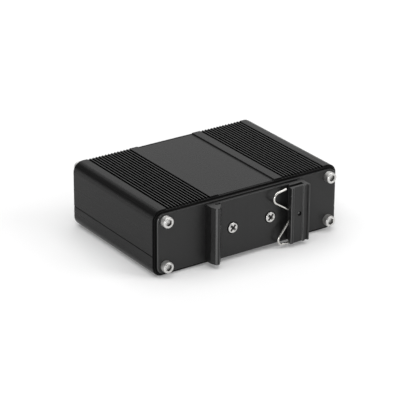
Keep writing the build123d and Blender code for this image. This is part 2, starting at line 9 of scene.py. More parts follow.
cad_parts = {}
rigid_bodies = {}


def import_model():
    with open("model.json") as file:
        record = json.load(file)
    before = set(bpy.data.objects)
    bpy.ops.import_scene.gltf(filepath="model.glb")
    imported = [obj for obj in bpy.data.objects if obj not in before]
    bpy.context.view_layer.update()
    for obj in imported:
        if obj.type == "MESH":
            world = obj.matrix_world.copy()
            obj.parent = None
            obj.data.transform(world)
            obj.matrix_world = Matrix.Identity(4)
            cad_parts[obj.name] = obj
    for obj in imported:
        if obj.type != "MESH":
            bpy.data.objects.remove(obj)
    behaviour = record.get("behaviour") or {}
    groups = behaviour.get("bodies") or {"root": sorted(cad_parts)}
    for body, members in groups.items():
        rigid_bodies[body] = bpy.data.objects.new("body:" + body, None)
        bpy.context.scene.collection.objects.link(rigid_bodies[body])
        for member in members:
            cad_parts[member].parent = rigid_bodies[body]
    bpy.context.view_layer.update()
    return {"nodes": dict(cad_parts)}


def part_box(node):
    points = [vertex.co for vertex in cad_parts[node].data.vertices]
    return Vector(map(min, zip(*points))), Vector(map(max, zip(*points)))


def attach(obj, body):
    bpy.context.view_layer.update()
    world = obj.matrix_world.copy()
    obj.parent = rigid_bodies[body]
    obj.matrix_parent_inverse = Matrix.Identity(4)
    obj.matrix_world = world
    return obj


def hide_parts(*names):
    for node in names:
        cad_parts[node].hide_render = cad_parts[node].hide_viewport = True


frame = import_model()


# Lower casing: the plain half of a two-piece aluminium extrusion, sawn to length and anodised black.
# The board lies on its two ledges, its tongues locate the upper half, and its channels take the screws.
MM = 0.001
casing_corner = 4.4
side_wall = 2.0
floor_thickness = 2.2
seam_height = 8.8
tongue_thickness = 0.9
tongue_height = 1.5
ledge_width = 2.2
ledge_height = 1.0
end_bite = 0.6
board_seat = 7.9
channel_bore = 1.45
channel_radius = 2.85
channel_mouth = 1.4
lower_screw_height = 4.65
screw_across = 39.5
sawn_edge = 0.04
drawn_edge = 0.06
sharp_angle = 32
casing_low, casing_high = (np.array(corner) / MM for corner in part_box("lower_casing"))
half_width = casing_high[0]
inner_half = half_width - side_wall


def linear(hex_colour):
    """Linear colour of an sRGB hex value: c / 12.92 up to 0.04045, and ((c + 0.055) / 1.055) ** 2.4 above."""
    c = np.array([int(hex_colour[i:i + 2], 16) for i in (1, 3, 5)]) / 255
    return (*np.where(c <= 0.04045, c / 12.92, ((c + 0.055) / 1.055) ** 2.4).tolist(), 1.0)


def add_node(tree, kind, inputs=None, **settings):
    """Adds a node. settings are its properties, and inputs its sockets' values or what is linked to them.

    Where names repeat, a socket goes by its number: a Mix node has its factor in 0, its numbers in 2 and 3
    and its colours in 6 and 7, and a Map Range node its range in 1 and 2 and its results in 3 and 4.
    """
    made = tree.nodes.new(kind)
    for name, value in settings.items():
        setattr(made, name, value)
    for name, value in (inputs or {}).items():
        if isinstance(value, bpy.types.NodeSocket):
            tree.links.new(value, made.inputs[name])
        else:
            made.inputs[name].default_value = value
    return made


def new_material(name, inputs=None):
    """A material, its tree, its shader with these plain inputs, and the object's own coordinates."""
    material = bpy.data.materials.new(name)
    material.use_nodes = True
    tree = material.node_tree
    shader = tree.nodes["Principled BSDF"]
    for socket, value in (inputs or {}).items():
        shader.inputs[socket].default_value = value
    place = add_node(tree, "ShaderNodeTexCoord").outputs["Object"]
    return material, tree, shader, place


def rounded(corners, radii, steps=5):
    """Closed outline through corners, with an arc for each corner that has a radius.

    An arc starts radius / tan(half the corner's angle) before its corner, and its centre lies
    radius / sin(half the angle) along the bisector. From the centre it turns from a to b as
    (sin((1 - s) t) a + sin(s t) b) / sin t, where t is the whole turn and s goes from 0 to 1.
    """
    corners = np.asarray(corners, float)
    radii = np.broadcast_to(np.asarray(radii, float), len(corners))
    before = np.roll(corners, 1, axis=0) - corners
    after = np.roll(corners, -1, axis=0) - corners
    before /= np.linalg.norm(before, axis=1, keepdims=True)
    after /= np.linalg.norm(after, axis=1, keepdims=True)
    half = np.arccos(np.clip((before * after).sum(axis=1), -1, 1)) / 2
    bisector = before + after
    bisector /= np.maximum(np.linalg.norm(bisector, axis=1, keepdims=True), 1e-9)
    centre = corners + bisector * (radii / np.sin(half))[:, None]
    reach = (radii / np.tan(half))[:, None]
    a, b = corners + before * reach - centre, corners + after * reach - centre
    turn = (np.pi - 2 * half)[:, None, None]
    s = np.linspace(0, 1, steps + 1)[None, :, None]
    arcs = np.sin((1 - s) * turn) * a[:, None] + np.sin(s * turn) * b[:, None]
    arcs = centre[:, None] + arcs / np.maximum(np.sin(turn), 1e-9)
    return arcs[(radii[:, None] > 0) | (np.arange(steps + 1) == 0)]


def circle(centre, radius, start, end, steps):
    """Points of an arc round centre, from the start angle to the end angle, in degrees."""
    turn = np.radians(np.linspace(start, end, steps))
    return np.asarray(centre) + radius * np.stack([np.cos(turn), np.sin(turn)], axis=1)


def skin(name, rings):
    """Mesh of quads between neighbouring closed rings, with a flat face on the first and the last ring.

    rings is an array of ring, point and coordinate. The faces are turned to point outwards, by the
    sign of the volume that they enclose, which is a sixth of the sum of each triangle's a . (b x c).
    """
    count, size = rings.shape[:2]
    first = (np.arange(count - 1) * size)[:, None]
    here, there = np.arange(size), (np.arange(size) + 1) % size
    quads = np.stack([first + here, first + there, first + size + there, first + size + here], axis=-1)
    quads = quads.reshape(-1, 4)
    points = rings.reshape(-1, 3)
    caps = [np.arange(size)[::-1], np.arange(size) + (count - 1) * size]
    fans = [np.stack([np.full(size - 2, cap[0]), cap[1:-1], cap[2:]], axis=1) for cap in caps]
    triangles = np.concatenate([quads[:, :3], quads[:, [0, 2, 3]], *fans])
    a, b, c = (points[triangles[:, k]] for k in range(3))
    turn = 1 if (a * np.cross(b, c)).sum() > 0 else -1
    mesh = bpy.data.meshes.new(name)
    faces = quads.tolist() + [cap.tolist() for cap in caps]
    mesh.from_pydata(points.tolist(), [], [face[::turn] for face in faces])
    return bpy.data.objects.new(name, mesh)


def shrunk(outline, inset):
    """Outline moved inwards by inset, each point along the mean of its two sides' normals."""
    ahead = np.roll(outline, -1, axis=0) - outline
    normal = np.stack([-ahead[:, 1], ahead[:, 0]], axis=1)
    normal /= np.linalg.norm(normal, axis=1, keepdims=True)
    before = np.roll(normal, 1, axis=0)
    mean = (normal + before) / (1 + (normal * before).sum(axis=1, keepdims=True))
    x, y = outline.T
    turn = np.sign((x * np.roll(y, -1) - np.roll(x, -1) * y).sum())
    return outline + turn * inset * mean


def extruded(name, outline, start, end, edge, order=(0, 2, 1)):
    """Outline carried straight from start to end, with its end edges broken by a chamfer.

    order tells which of the outline's two coordinates and the carried one goes to X, Y and Z.
    """
    smaller = shrunk(outline, edge)
    places = ((smaller, start), (outline, start + edge), (outline, end - edge), (smaller, end))
    rings = [np.column_stack([shape, np.full(len(shape), place)])[:, order] for shape, place in places]
    return skin(name, np.array(rings) * MM)


def dress(piece, material, slot, *replaced):
    """Gives a new piece its finish, smooth shading between its sharp edges, and its place in the frame."""
    bpy.context.scene.collection.objects.link(piece)
    piece.data.materials.append(material)
    piece.data.shade_smooth()
    piece.data.set_sharp_from_angle(angle=math.radians(sharp_angle))
    weighted = piece.modifiers.new("even_normals", "WEIGHTED_NORMAL")
    weighted.keep_sharp = True
    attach(piece, "root")
    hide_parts(*replaced)
    return piece


# Extruded aluminium, bead blasted fine, dyed black and sealed. The oxide reflects like a hard clear coat
# over near black, with faint die lines, drawn coarser than real ones so that they show. middle_range is
# the middle of a noise's range, which a finish stretches over its roughness.
anodised_extrusion, tree, shader, place = new_material("black_anodised_extrusion", {"IOR": 1.23})
die_line_spacing = 0.5
die_line_run = 60.0
blast_grain = 0.16
blast_share = 0.8
cloud_size = 22.2
fine_relief = 0.02
middle_range = {1: 0.3, 2: 0.7}
line_scale = (1 / (die_line_spacing * MM), 1 / (die_line_run * MM), 1 / (die_line_spacing * MM))
lines = add_node(tree, "ShaderNodeMapping", {"Vector": place, "Scale": line_scale})
lines = add_node(tree, "ShaderNodeTexNoise", {"Vector": lines.outputs[0], "Scale": 1.0, "Detail": 3.0})
grain = add_node(tree, "ShaderNodeTexNoise",
                 {"Vector": place, "Scale": 1 / (blast_grain * MM), "Detail": 2.0})
cloud = add_node(tree, "ShaderNodeTexNoise", {"Vector": place, "Scale": 1 / (cloud_size * MM), "Detail": 2.0})
tone = add_node(tree, "ShaderNodeMix", {0: cloud.outputs[0], 6: linear("#131313"), 7: linear("#191919")},
                data_type="RGBA")
tree.links.new(tone.outputs[2], shader.inputs["Base Color"])
gloss = add_node(tree, "ShaderNodeMapRange", {0: lines.outputs[0], **middle_range, 3: 0.25, 4: 0.28})
tree.links.new(gloss.outputs[0], shader.inputs["Roughness"])
relief = add_node(tree, "ShaderNodeMix", {0: blast_share, 2: lines.outputs[0], 3: grain.outputs[0]})
bump = add_node(tree, "ShaderNodeBump",
                {"Height": relief.outputs[0], "Strength": 0.06, "Distance": fine_relief * MM})
tree.links.new(bump.outputs[0], shader.inputs["Normal"])


def screw_channel(height, wall):
    """Right half's screw channel: round its outside, in at the mouth, round the bore and back to the wall."""
    root = -math.degrees(math.asin(abs(wall - height) / channel_radius))
    lip = math.degrees(math.asin(channel_mouth / 2 / channel_radius))
    bore_lip = math.degrees(math.asin(channel_mouth / 2 / channel_bore))
    arcs = [circle((0, 0), channel_radius, root, 180 - lip, 13),
            circle((0, 0), channel_bore, 180 - bore_lip, bore_lip - 180, 15),
            circle((0, 0), channel_radius, lip - 180, -180 - root, 5)]
    return np.concatenate(arcs) * (1, np.sign(height - wall)) + (screw_across, height)


def both_halves(half):
    """Right half's outline, which starts and ends at X = 0, with its mirror image on the way back."""
    return np.concatenate([half, (half[1:-1] * (-1, 1))[::-1]])


tongue_outside = inner_half + tongue_thickness
ledge_edge = inner_half - ledge_width
lower_wall = rounded(
    [(0, 0), (half_width, 0), (half_width, seam_height), (tongue_outside, seam_height),
     (tongue_outside, seam_height + tongue_height), (inner_half, seam_height + tongue_height),
     (inner_half, board_seat), (ledge_edge, board_seat), (ledge_edge, board_seat - ledge_height),
     (inner_half, board_seat - ledge_height), (inner_half, floor_thickness), (0, floor_thickness)],
    [0, casing_corner, drawn_edge, 0, drawn_edge, drawn_edge, 0, drawn_edge, drawn_edge, 0, 0, 0], steps=10)
lower_channel = screw_channel(lower_screw_height, floor_thickness)
lower_outline = both_halves(np.concatenate([lower_wall[:-1], lower_channel, lower_wall[-1:]]))
lower_casing = extruded("lower_casing_dressed", lower_outline,
                        casing_low[1] - end_bite, casing_high[1] + end_bite, sawn_edge)
dress(lower_casing, anodised_extrusion, "casing", "lower_casing")


# Circuit board: glass fibre laminate with green solder mask over its copper, clamped between the halves.
# Its pads and tracks show as slightly raised, lighter paths under the glossy mask.
solder_mask, tree, shader, place = new_material("green_solder_mask_on_laminate", {"Roughness": 0.28})
track_pitch = 1.27
weave_pitch = 0.5
weave_share = 0.25
tracks = add_node(tree, "ShaderNodeTexBrick",
                  {"Vector": place, "Scale": 1 / (track_pitch * MM), "Mortar Size": 0.18, "Brick Width": 6.0,
                   "Row Height": 1.0, "Color1": linear("#0f4a26"), "Color2": linear("#114f29"),
                   "Mortar": linear("#1c6b38")})
weave = add_node(tree, "ShaderNodeTexChecker", {"Vector": place, "Scale": 1 / (weave_pitch * MM)})
tree.links.new(tracks.outputs["Color"], shader.inputs["Base Color"])
relief = add_node(tree, "ShaderNodeMix", {0: weave_share, 2: tracks.outputs["Fac"], 3: weave.outputs["Fac"]})
bump = add_node(tree, "ShaderNodeBump",
                {"Height": relief.outputs[0], "Strength": 0.4, "Distance": 0.03 * MM})
tree.links.new(bump.outputs[0], shader.inputs["Normal"])
nodes = frame["nodes"]


def finish_node(name, material):
    """A carried-over CAD node keeps its shape and takes this finish in its first slot."""
    mesh = nodes[name].data
    mesh.materials.clear()
    mesh.materials.append(material)


finish_node("circuit_board", solder_mask)


# Upper casing: the ribbed half of the same extruded aluminium. Each side of its top has fourteen narrow
# cooling grooves, and a shallow bare recess runs between them from end to end.
seam_gap = 0.3
roof_underside = 25.3
upper_screw_height = 23.85
clamp_bottom = 9.6
clamp_wall = 1.2
groove_count = 14
groove_pitch = 1.484
groove_width = 1.08
groove_depth = 1.1
groove_root = 0.2
groove_field_middle = 27.7
recess_half = 13.65
recess_depth = 0.55
recess_slope = 0.4
rib_edge = 0.06
recess_edge = 0.25
land_depth = 0.1
upper_low, upper_high = (np.array(corner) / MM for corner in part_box("upper_casing"))
top = upper_high[2]
groove_middles = groove_field_middle + (np.arange(groove_count) - (groove_count - 1) / 2) * groove_pitch
groove_shape = ((-1, 0), (-1, groove_depth), (1, groove_depth), (1, 0))
groove_corners = [(middle + side * groove_width / 2, top - deep)
                  for middle in groove_middles for side, deep in groove_shape]
rebate = inner_half + tongue_thickness + seam_gap
rebate_top = seam_height + tongue_height + seam_gap
upper_wall = rounded(
    [(0, top - recess_depth), (recess_half - recess_slope, top - recess_depth), (recess_half, top),
     *groove_corners, (half_width, top), (half_width, seam_height + seam_gap),
     (rebate, seam_height + seam_gap), (rebate, rebate_top), (ledge_edge + clamp_wall, rebate_top),
     (ledge_edge + clamp_wall, clamp_bottom), (ledge_edge, clamp_bottom),
     (ledge_edge, rebate_top + clamp_wall), (inner_half, rebate_top + clamp_wall),
     (inner_half, roof_underside), (0, roof_underside)],
    [0, recess_edge, recess_edge, *[rib_edge, groove_root, groove_root, rib_edge] * groove_count,
     casing_corner, drawn_edge, 0, 0, 0, drawn_edge, drawn_edge, 0, 0, 0, 0], steps=8)
upper_channel = screw_channel(upper_screw_height, roof_underside)
upper_outline = both_halves(np.concatenate([upper_wall[:-1], upper_channel, upper_wall[-1:]]))
upper_casing = extruded("upper_casing_dressed", upper_outline,
                        upper_low[1] - end_bite, upper_high[1] + end_bite, sawn_edge)
dress(upper_casing, anodised_extrusion, "casing", "upper_casing")


def refinish(piece, finish, chosen):
    """Gives another finish to a piece's faces where chosen, a test of their centres and normals, holds."""
    faces = piece.data.polygons
    centre, normal = np.empty(3 * len(faces)), np.empty(3 * len(faces))
    faces.foreach_get("center", centre)
    faces.foreach_get("normal", normal)
    slots = np.empty(len(faces), np.int32)
    faces.foreach_get("material_index", slots)
    slots[chosen(centre.reshape(-1, 3) / MM, normal.reshape(-1, 3))] = len(piece.data.materials)
    piece.data.materials.append(finish)
    faces.foreach_set("material_index", slots)


def in_groove_fields(centre):
    """Whether points lie in one of the two fields of grooves, seen from above."""
    return np.abs(np.abs(centre[:, 0]) - groove_field_middle) < groove_count * groove_pitch / 2


# The grooves get a near black, matt finish: painted shade for the dark inside them. The ribs' tops
# between them get a lighter, glossier finish: a painted sheen.
grooves_painted_shade, tree, shader, place = new_material(
    "grooves_painted_shade_black", {"Base Color": linear("#060606"), "Roughness": 0.5, "IOR": 1.1})
rib_tops_painted_sheen, tree, shader, place = new_material("rib_tops_painted_sheen_anodised", {"Roughness": 0.26, "IOR": 1.37})
mottle_size = 2.0
mottle = add_node(tree, "ShaderNodeTexNoise", {"Vector": place, "Scale": 1 / (mottle_size * MM), "Detail": 3.0})
tone = add_node(tree, "ShaderNodeMix", {0: mottle.outputs[0], 6: linear("#161616"), 7: linear("#1e1e1e")},
                data_type="RGBA")
tree.links.new(tone.outputs[2], shader.inputs["Base Color"])


def in_grooves(centre, normal):
    """Faces of the grooves' walls and bottoms, from land_depth under the top downwards."""
    deep = top - land_depth - centre[:, 2]
    return in_groove_fields(centre) & (np.abs(normal[:, 1]) < 0.5) & (deep > 0) & (deep < groove_depth)


def on_rib_lands(centre, normal):
    """Faces that look up within land_depth of the top, between the grooves."""
    return in_groove_fields(centre) & (normal[:, 2] > 0.3) & (centre[:, 2] > top - land_depth)


# Painted shade in the grooves' walls and bottoms, and a painted sheen on the rib tops.
refinish(upper_casing, grooves_painted_shade, in_grooves)
refinish(upper_casing, rib_tops_painted_sheen, on_rib_lands)


# Gaskets: black rubber rings, die cut from sheet, one squeezed between each end of the case and its plate.
# They are matt, with the tooth of calendered sheet, drawn coarser than a real one.
die_cut_edge = 0.15
merge_distance = 0.001
flat_angle = 0.5
eased_angle = 35
rubber, tree, shader, place = new_material("calendered_black_rubber", {"Roughness": 0.3, "IOR": 1.15})
tooth = 0.12
skin_noise = add_node(tree, "ShaderNodeTexNoise", {"Vector": place, "Scale": 1 / (tooth * MM), "Detail": 3.0})
tone = add_node(tree, "ShaderNodeMix", {0: skin_noise.outputs[0], 6: linear("#0e0e0e"), 7: linear("#151515")},
                data_type="RGBA")
tree.links.new(tone.outputs[2], shader.inputs["Base Color"])
bump = add_node(tree, "ShaderNodeBump",
                {"Height": skin_noise.outputs[0], "Strength": 0.5, "Distance": fine_relief * MM})
tree.links.new(bump.outputs[0], shader.inputs["Normal"])


def eased(name, edge, steps=2):
    """A copy of a CAD node, with doubles merged, flat triangles joined and sharp edges rounded."""
    mesh = nodes[name].data.copy()
    mesh.materials.clear()
    work = bmesh.new()
    work.from_mesh(mesh)
    bmesh.ops.remove_doubles(work, verts=work.verts, dist=merge_distance * MM)
    bmesh.ops.dissolve_limit(work, angle_limit=math.radians(flat_angle), verts=work.verts,
                             edges=work.edges)
    work.to_mesh(mesh)
    work.free()
    piece = bpy.data.objects.new(name + "_dressed", mesh)
    bevel = piece.modifiers.new("eased_edges", "BEVEL")
    bevel.width = edge * MM
    bevel.segments = steps
    bevel.limit_method = "ANGLE"
    bevel.angle_limit = math.radians(eased_angle)
    bevel.use_clamp_overlap = False
    return piece


for gasket_name in ("front_gasket", "rear_gasket"):
    dress(eased(gasket_name, die_cut_edge), rubber, "gasket", gasket_name)


# End plates: aluminium sheet, punched, brushed along its length, then anodised black. The brushing
# leaves lines that stretch highlights across them, drawn coarser than real ones so that they show.
punched_edge = 0.04
brush_line = 0.45
brush_run = 40.0
bevel_tilt = 0.3
brushed_plate, tree, shader, place = new_material("black_anodised_brushed_plate", {"IOR": 1.38})
brush_scale = (1 / (brush_run * MM), 1.0, 1 / (brush_line * MM))
brush = add_node(tree, "ShaderNodeMapping", {"Vector": place, "Scale": brush_scale})
brush = add_node(tree, "ShaderNodeTexNoise",
                 {"Vector": brush.outputs[0], "Scale": 1.0, "Detail": 5.0, "Roughness": 0.7})
tone = add_node(tree, "ShaderNodeMix", {0: brush.outputs[0], 6: linear("#1f1f1f"), 7: linear("#282828")},
                data_type="RGBA")
tree.links.new(tone.outputs[2], shader.inputs["Base Color"])
gloss = add_node(tree, "ShaderNodeMapRange", {0: brush.outputs[0], **middle_range, 3: 0.32, 4: 0.5})
tree.links.new(gloss.outputs[0], shader.inputs["Roughness"])
bump = add_node(tree, "ShaderNodeBump",
                {"Height": brush.outputs[0], "Strength": 0.5, "Distance": fine_relief * MM})
tree.links.new(bump.outputs[0], shader.inputs["Normal"])
# Painted highlight: the edges get a more reflective, glossier finish, so that they draw a thin bright line.
edge_painted_highlight, tree, shader, place = new_material("anodised_edge_painted_highlight", {"IOR": 1.9})
mottle_size = 1.5
mottle = add_node(tree, "ShaderNodeTexNoise", {"Vector": place, "Scale": 1 / (mottle_size * MM), "Detail": 3.0})
gloss = add_node(tree, "ShaderNodeMapRange", {0: mottle.outputs[0], **middle_range, 3: 0.24, 4: 0.4})
tree.links.new(gloss.outputs[0], shader.inputs["Roughness"])
tone = add_node(tree, "ShaderNodeMix", {0: mottle.outputs[0], 6: linear("#1c1c1c"), 7: linear("#282828")},
                data_type="RGBA")
tree.links.new(tone.outputs[2], shader.inputs["Base Color"])
# The plates' bevelled edges take the painted highlight.
for plate_name in ("front_panel", "rear_panel"):
    plate = dress(eased(plate_name, punched_edge), brushed_plate, "panel", plate_name)
    refinish(plate, edge_painted_highlight, lambda centre, normal: (np.abs(normal[:, :2]) > bevel_tilt).all(axis=1))


# Plate screws: stainless steel socket head screws that cut their thread in the casing's channels. Cold
# heading leaves the crown bright, and the rolled knurl scatters light round the side. The hexagon's walls
# are painted shade, a dark grey steel, and its bottom has a painted highlight, the knurl's lighter finish.
screw_heights = (lower_screw_height, upper_screw_height)
screw_places = [(x, z) for x in (-screw_across, screw_across) for z in screw_heights]
head_radius = 2.325
head_height = 2.84
head_crown = 0.5
knurl_count = 32
knurl_depth = 0.07
hexagon_radius = 1.19
hexagon_depth = 1.1
socket_cone = 0.05
socket_edge = 0.1
knurl_end, neck_end = 0.3, 0.2
neck_draw, seat_draw = 0.03, 0.12
thread_radius = 1.4
thread_depth = 0.22
thread_pitch = 0.64
shank_length = 9.0
side_tilt = 0.6
wall_reach = hexagon_radius + 0.3
turn_points = 128
turn = np.linspace(0, 2 * np.pi, turn_points, endpoint=False)
stainless, tree, shader, place = new_material("bright_stainless_steel", {"Metallic": 1.0})
tooling_size = 0.25
tooling = add_node(tree, "ShaderNodeTexNoise",
                   {"Vector": place, "Scale": 1 / (tooling_size * MM), "Detail": 3.0})
gloss = add_node(tree, "ShaderNodeMapRange", {0: tooling.outputs[0], **middle_range, 3: 0.24, 4: 0.36})
tree.links.new(gloss.outputs[0], shader.inputs["Roughness"])
tone = add_node(tree, "ShaderNodeMix", {0: tooling.outputs[0], 6: linear("#c6c5c3"), 7: linear("#d6d5d3")},
                data_type="RGBA")
tree.links.new(tone.outputs[2], shader.inputs["Base Color"])
knurl_and_socket_highlight, tree, shader, place = new_material("knurled_steel_and_socket_painted_highlight", {"Metallic": 1.0, "Roughness": 0.5})
grit_size = 0.2
grit = add_node(tree, "ShaderNodeTexNoise", {"Vector": place, "Scale": 1 / (grit_size * MM), "Detail": 3.0})
tone = add_node(tree, "ShaderNodeMix", {0: grit.outputs[0], 6: linear("#d3d2d0"), 7: linear("#e3e2e0")},
                data_type="RGBA")
tree.links.new(tone.outputs[2], shader.inputs["Base Color"])
socket_walls_painted_shade, tree, shader, place = new_material(
    "socket_walls_painted_shade_steel", {"Metallic": 1.0, "Roughness": 0.4})
chatter_size = 0.2
chatter = add_node(tree, "ShaderNodeTexNoise",
                   {"Vector": place, "Scale": 1 / (chatter_size * MM), "Detail": 3.0})
tone = add_node(tree, "ShaderNodeMix", {0: chatter.outputs[0], 6: linear("#5c5c5b"), 7: linear("#70706e")},
                data_type="RGBA")
tree.links.new(tone.outputs[2], shader.inputs["Base Color"])


def from_axis(centre):
    """Distance of points from the axis of the plate screw that is nearest."""
    rise = np.abs(centre[:, 2:] - screw_heights).min(axis=1)
    return np.hypot(np.abs(centre[:, 0]) - screw_across, rise)


def saw(phase):
    """Triangle wave of its phase in turns, from 0 at whole turns to 1 at half turns."""
    return 1 - np.abs(2 * (phase % 1) - 1)


def threaded_shank(length, radius, depth, pitch, levels=6):
    """Radii and heights of a thread: the wave runs along the screw and shifts by one pitch in each turn."""
    heights = -np.arange(0.15, length - 0.4, pitch / levels)
    radii = radius - depth * saw(heights[:, None] / pitch + turn / (2 * np.pi))
    root = radius - depth
    return [(root, 0), *zip(radii, heights), (root, 0.3 - length), (0.6 * radius, -length)]


def turned(levels, x, seat, z, outward):
    """Rings of a turned shape at (x, z), from levels of radius and of height above its seat.

    A radius or a height is one number, or one for each point of the turn.
    """
    level = np.zeros_like(turn)
    rings = [np.stack([x + r * np.cos(turn), seat + outward * h + level, z + r * np.sin(turn)], axis=1)
             for r, h in levels]
    return np.array(rings) * MM


sixth = np.pi / 3
hexagon = hexagon_radius / np.cos((turn + sixth / 2) % sixth - sixth / 2)
serrated = head_radius - knurl_depth * saw(knurl_count * turn / (2 * np.pi))
socket_bottom = head_height - hexagon_depth
cap_screw = [
    (0.02, socket_bottom - socket_cone), (hexagon * 0.97, socket_bottom),
    (hexagon, socket_bottom + socket_edge), (hexagon, head_height - socket_edge),
    (hexagon + socket_edge, head_height),
    *[(head_radius - head_crown * (1 - np.sin(a)), head_height - head_crown * (1 - np.cos(a)))
      for a in np.linspace(0, 1.45, 6)],
    (serrated, head_height - head_crown - 0.1), (serrated, knurl_end), (head_radius - neck_draw, neck_end),
    (head_radius - seat_draw, 0),
    *threaded_shank(shank_length, thread_radius, thread_depth, thread_pitch)]


def merged(name, shells):
    """One mesh of several separate shells, each given by its rings."""
    parts = [skin(name, rings) for rings in shells]
    work = bmesh.new()
    for part in parts:
        work.from_mesh(part.data)
    mesh = bpy.data.meshes.new(name)
    work.to_mesh(mesh)
    work.free()
    return bpy.data.objects.new(name, mesh)


front_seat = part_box("front_panel")[0].y / MM
rear_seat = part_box("rear_panel")[1].y / MM
screw_rows = (("front_panel_screws", front_seat, -1), ("rear_panel_screws", rear_seat, 1))
for screws_name, seat, outward in screw_rows:
    shells = [turned(cap_screw, x, seat, z, outward) for x, z in screw_places]
    screws = dress(merged(screws_name + "_dressed", shells), stainless, "screws", screws_name)
    # The knurl's finish goes on the head's side and also on the socket's bottom, as a painted highlight.
    refinish(screws, knurl_and_socket_highlight, lambda centre, normal: np.where(
        np.abs(normal[:, 1]) < side_tilt, from_axis(centre) > wall_reach,
        from_axis(centre) < hexagon_radius - socket_edge))
    # Painted shade: the hexagon's walls take the dark grey steel.
    refinish(screws, socket_walls_painted_shade, lambda centre, normal: (
        np.abs(normal[:, 1]) < side_tilt) & (from_axis(centre) < wall_reach))


# Rail clip: a short length of aluminium extrusion, anodised black. Its hook takes one edge of the rail,
# and its channel holds the spring that presses on the other edge. A punch mark keeps the spring in place.
clip_low, clip_high = (np.array(corner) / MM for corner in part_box("din_clip"))
clip_face = 2.1
clip_relief = 0.55
deep_relief = 1.0
foot_width = 1.7
hook_slot_x, hook_slot_depth, hook_undercut = 17.6, 2.1, 0.3
hook_side, hook_reach, hook_nose, hook_flank, hook_draft = 20.7, 6.5, 1.5, 2.6, 1.05
hook_tip, hook_tip_land = 0.35, 0.2
rail_thickness = 1.0
step_x, land_x, land_reach = -18.2, -17.5, 3.2
slot_end_x, rail_grip = -23.5, 5.0
lip_x, lip_bead, bead_height, field_reach = -16.3, 1.3, 0.55, 6.25
channel_x, channel_side = clip_low[0], 1.9
rib_width, rib_height, rib_groove = 3.1, 0.6, 0.6
rib_top = field_reach + rib_height
rib_middle = channel_x + rib_width / 2
slot_mouth = hook_slot_x - hook_slot_depth
rail_face = clip_face + rail_thickness
hook_end = hook_side - hook_draft
bead_top = field_reach + bead_height
foot_edge = hook_side - foot_width
channel_end = channel_x + channel_side
crisp, fine, soft = 0.05, 0.1, 0.15
clip_corners = [
    (hook_side, 0, crisp), (hook_side, hook_reach - hook_flank, 0.6), (hook_end, hook_reach, 0.9),
    (hook_end - hook_nose, hook_reach, 0.3), (slot_mouth, rail_face + hook_tip, fine),
    (slot_mouth + hook_tip_land, rail_face, 0.08), (hook_slot_x, rail_face, 0.12),
    (hook_slot_x, clip_face - hook_undercut, 0.12), (slot_mouth, clip_face - hook_undercut, fine),
    (slot_mouth - hook_undercut, clip_face, fine), (step_x, clip_face, soft), (land_x, land_reach, soft),
    (slot_end_x, land_reach, soft), (slot_end_x, rail_grip, soft), (lip_x, rail_grip, soft),
    (lip_x, bead_top, 0.3), (lip_x - lip_bead, bead_top, 0.3),
    (lip_x - lip_bead - bead_height / 2, field_reach, fine),
    (channel_x + rib_width + rib_height / 2, field_reach, fine), (channel_x + rib_width, rib_top, 0.2),
    (rib_middle + rib_groove, rib_top, fine), (rib_middle + rib_groove, rib_top - rib_groove, 0.45),
    (rib_middle - rib_groove, rib_top - rib_groove, 0.45), (rib_middle - rib_groove, rib_top, fine),
    (channel_x, rib_top, 0.25), (channel_x, 0, crisp), (channel_end, 0, crisp),
    (channel_end, deep_relief, soft), (step_x - deep_relief, deep_relief, soft),
    (step_x - deep_relief + clip_relief, clip_relief, soft), (foot_edge, clip_relief, soft),
    (foot_edge, 0, crisp)]
clip_shape = np.array(clip_corners)
clip_outline = rounded(clip_shape[:, :2] + (0, rear_seat), clip_shape[:, 2], steps=6)
din_clip = extruded("din_clip_dressed", clip_outline, clip_low[2], clip_high[2], sawn_edge, order=(0, 1, 2))
clip_screw_places = ((-9.15, 14.1), (9.15, 14.1))
seat_radius, seat_depth = 2.6, 0.5
seat_floor = rear_seat + clip_face - seat_depth
punch_radius, punch_depth = 0.95, 0.85
punch_x, punch_z = lip_x - 4.5, 14.2


def cut(piece, *cutters):
    """Takes the cutters' shapes out of a piece that is not in the scene yet, and deletes them."""
    collection = bpy.context.scene.collection.objects
    for shape in (piece, *cutters):
        collection.link(shape)
    for cutter in cutters:
        piece.modifiers.new("cut", "BOOLEAN").object = cutter
    mesh = bpy.data.meshes.new_from_object(piece.evaluated_get(bpy.context.evaluated_depsgraph_get()))
    piece.modifiers.clear()
    piece.data = mesh
    collection.unlink(piece)
    for cutter in cutters:
        bpy.data.objects.remove(cutter)


ball = np.linspace(0.01, np.pi - 0.01, 32)
punch = [(punch_radius * np.sin(angle), -punch_radius * np.cos(angle)) for angle in ball]
punch_middle = rear_seat + field_reach + punch_radius - punch_depth
seat = [(seat_radius, 0), (seat_radius, 2 * seat_depth)]
cut(din_clip, skin("punch", turned(punch, punch_x, punch_middle, punch_z, 1)),
    *[skin("seat", turned(seat, x, seat_floor, z, 1)) for x, z in clip_screw_places])
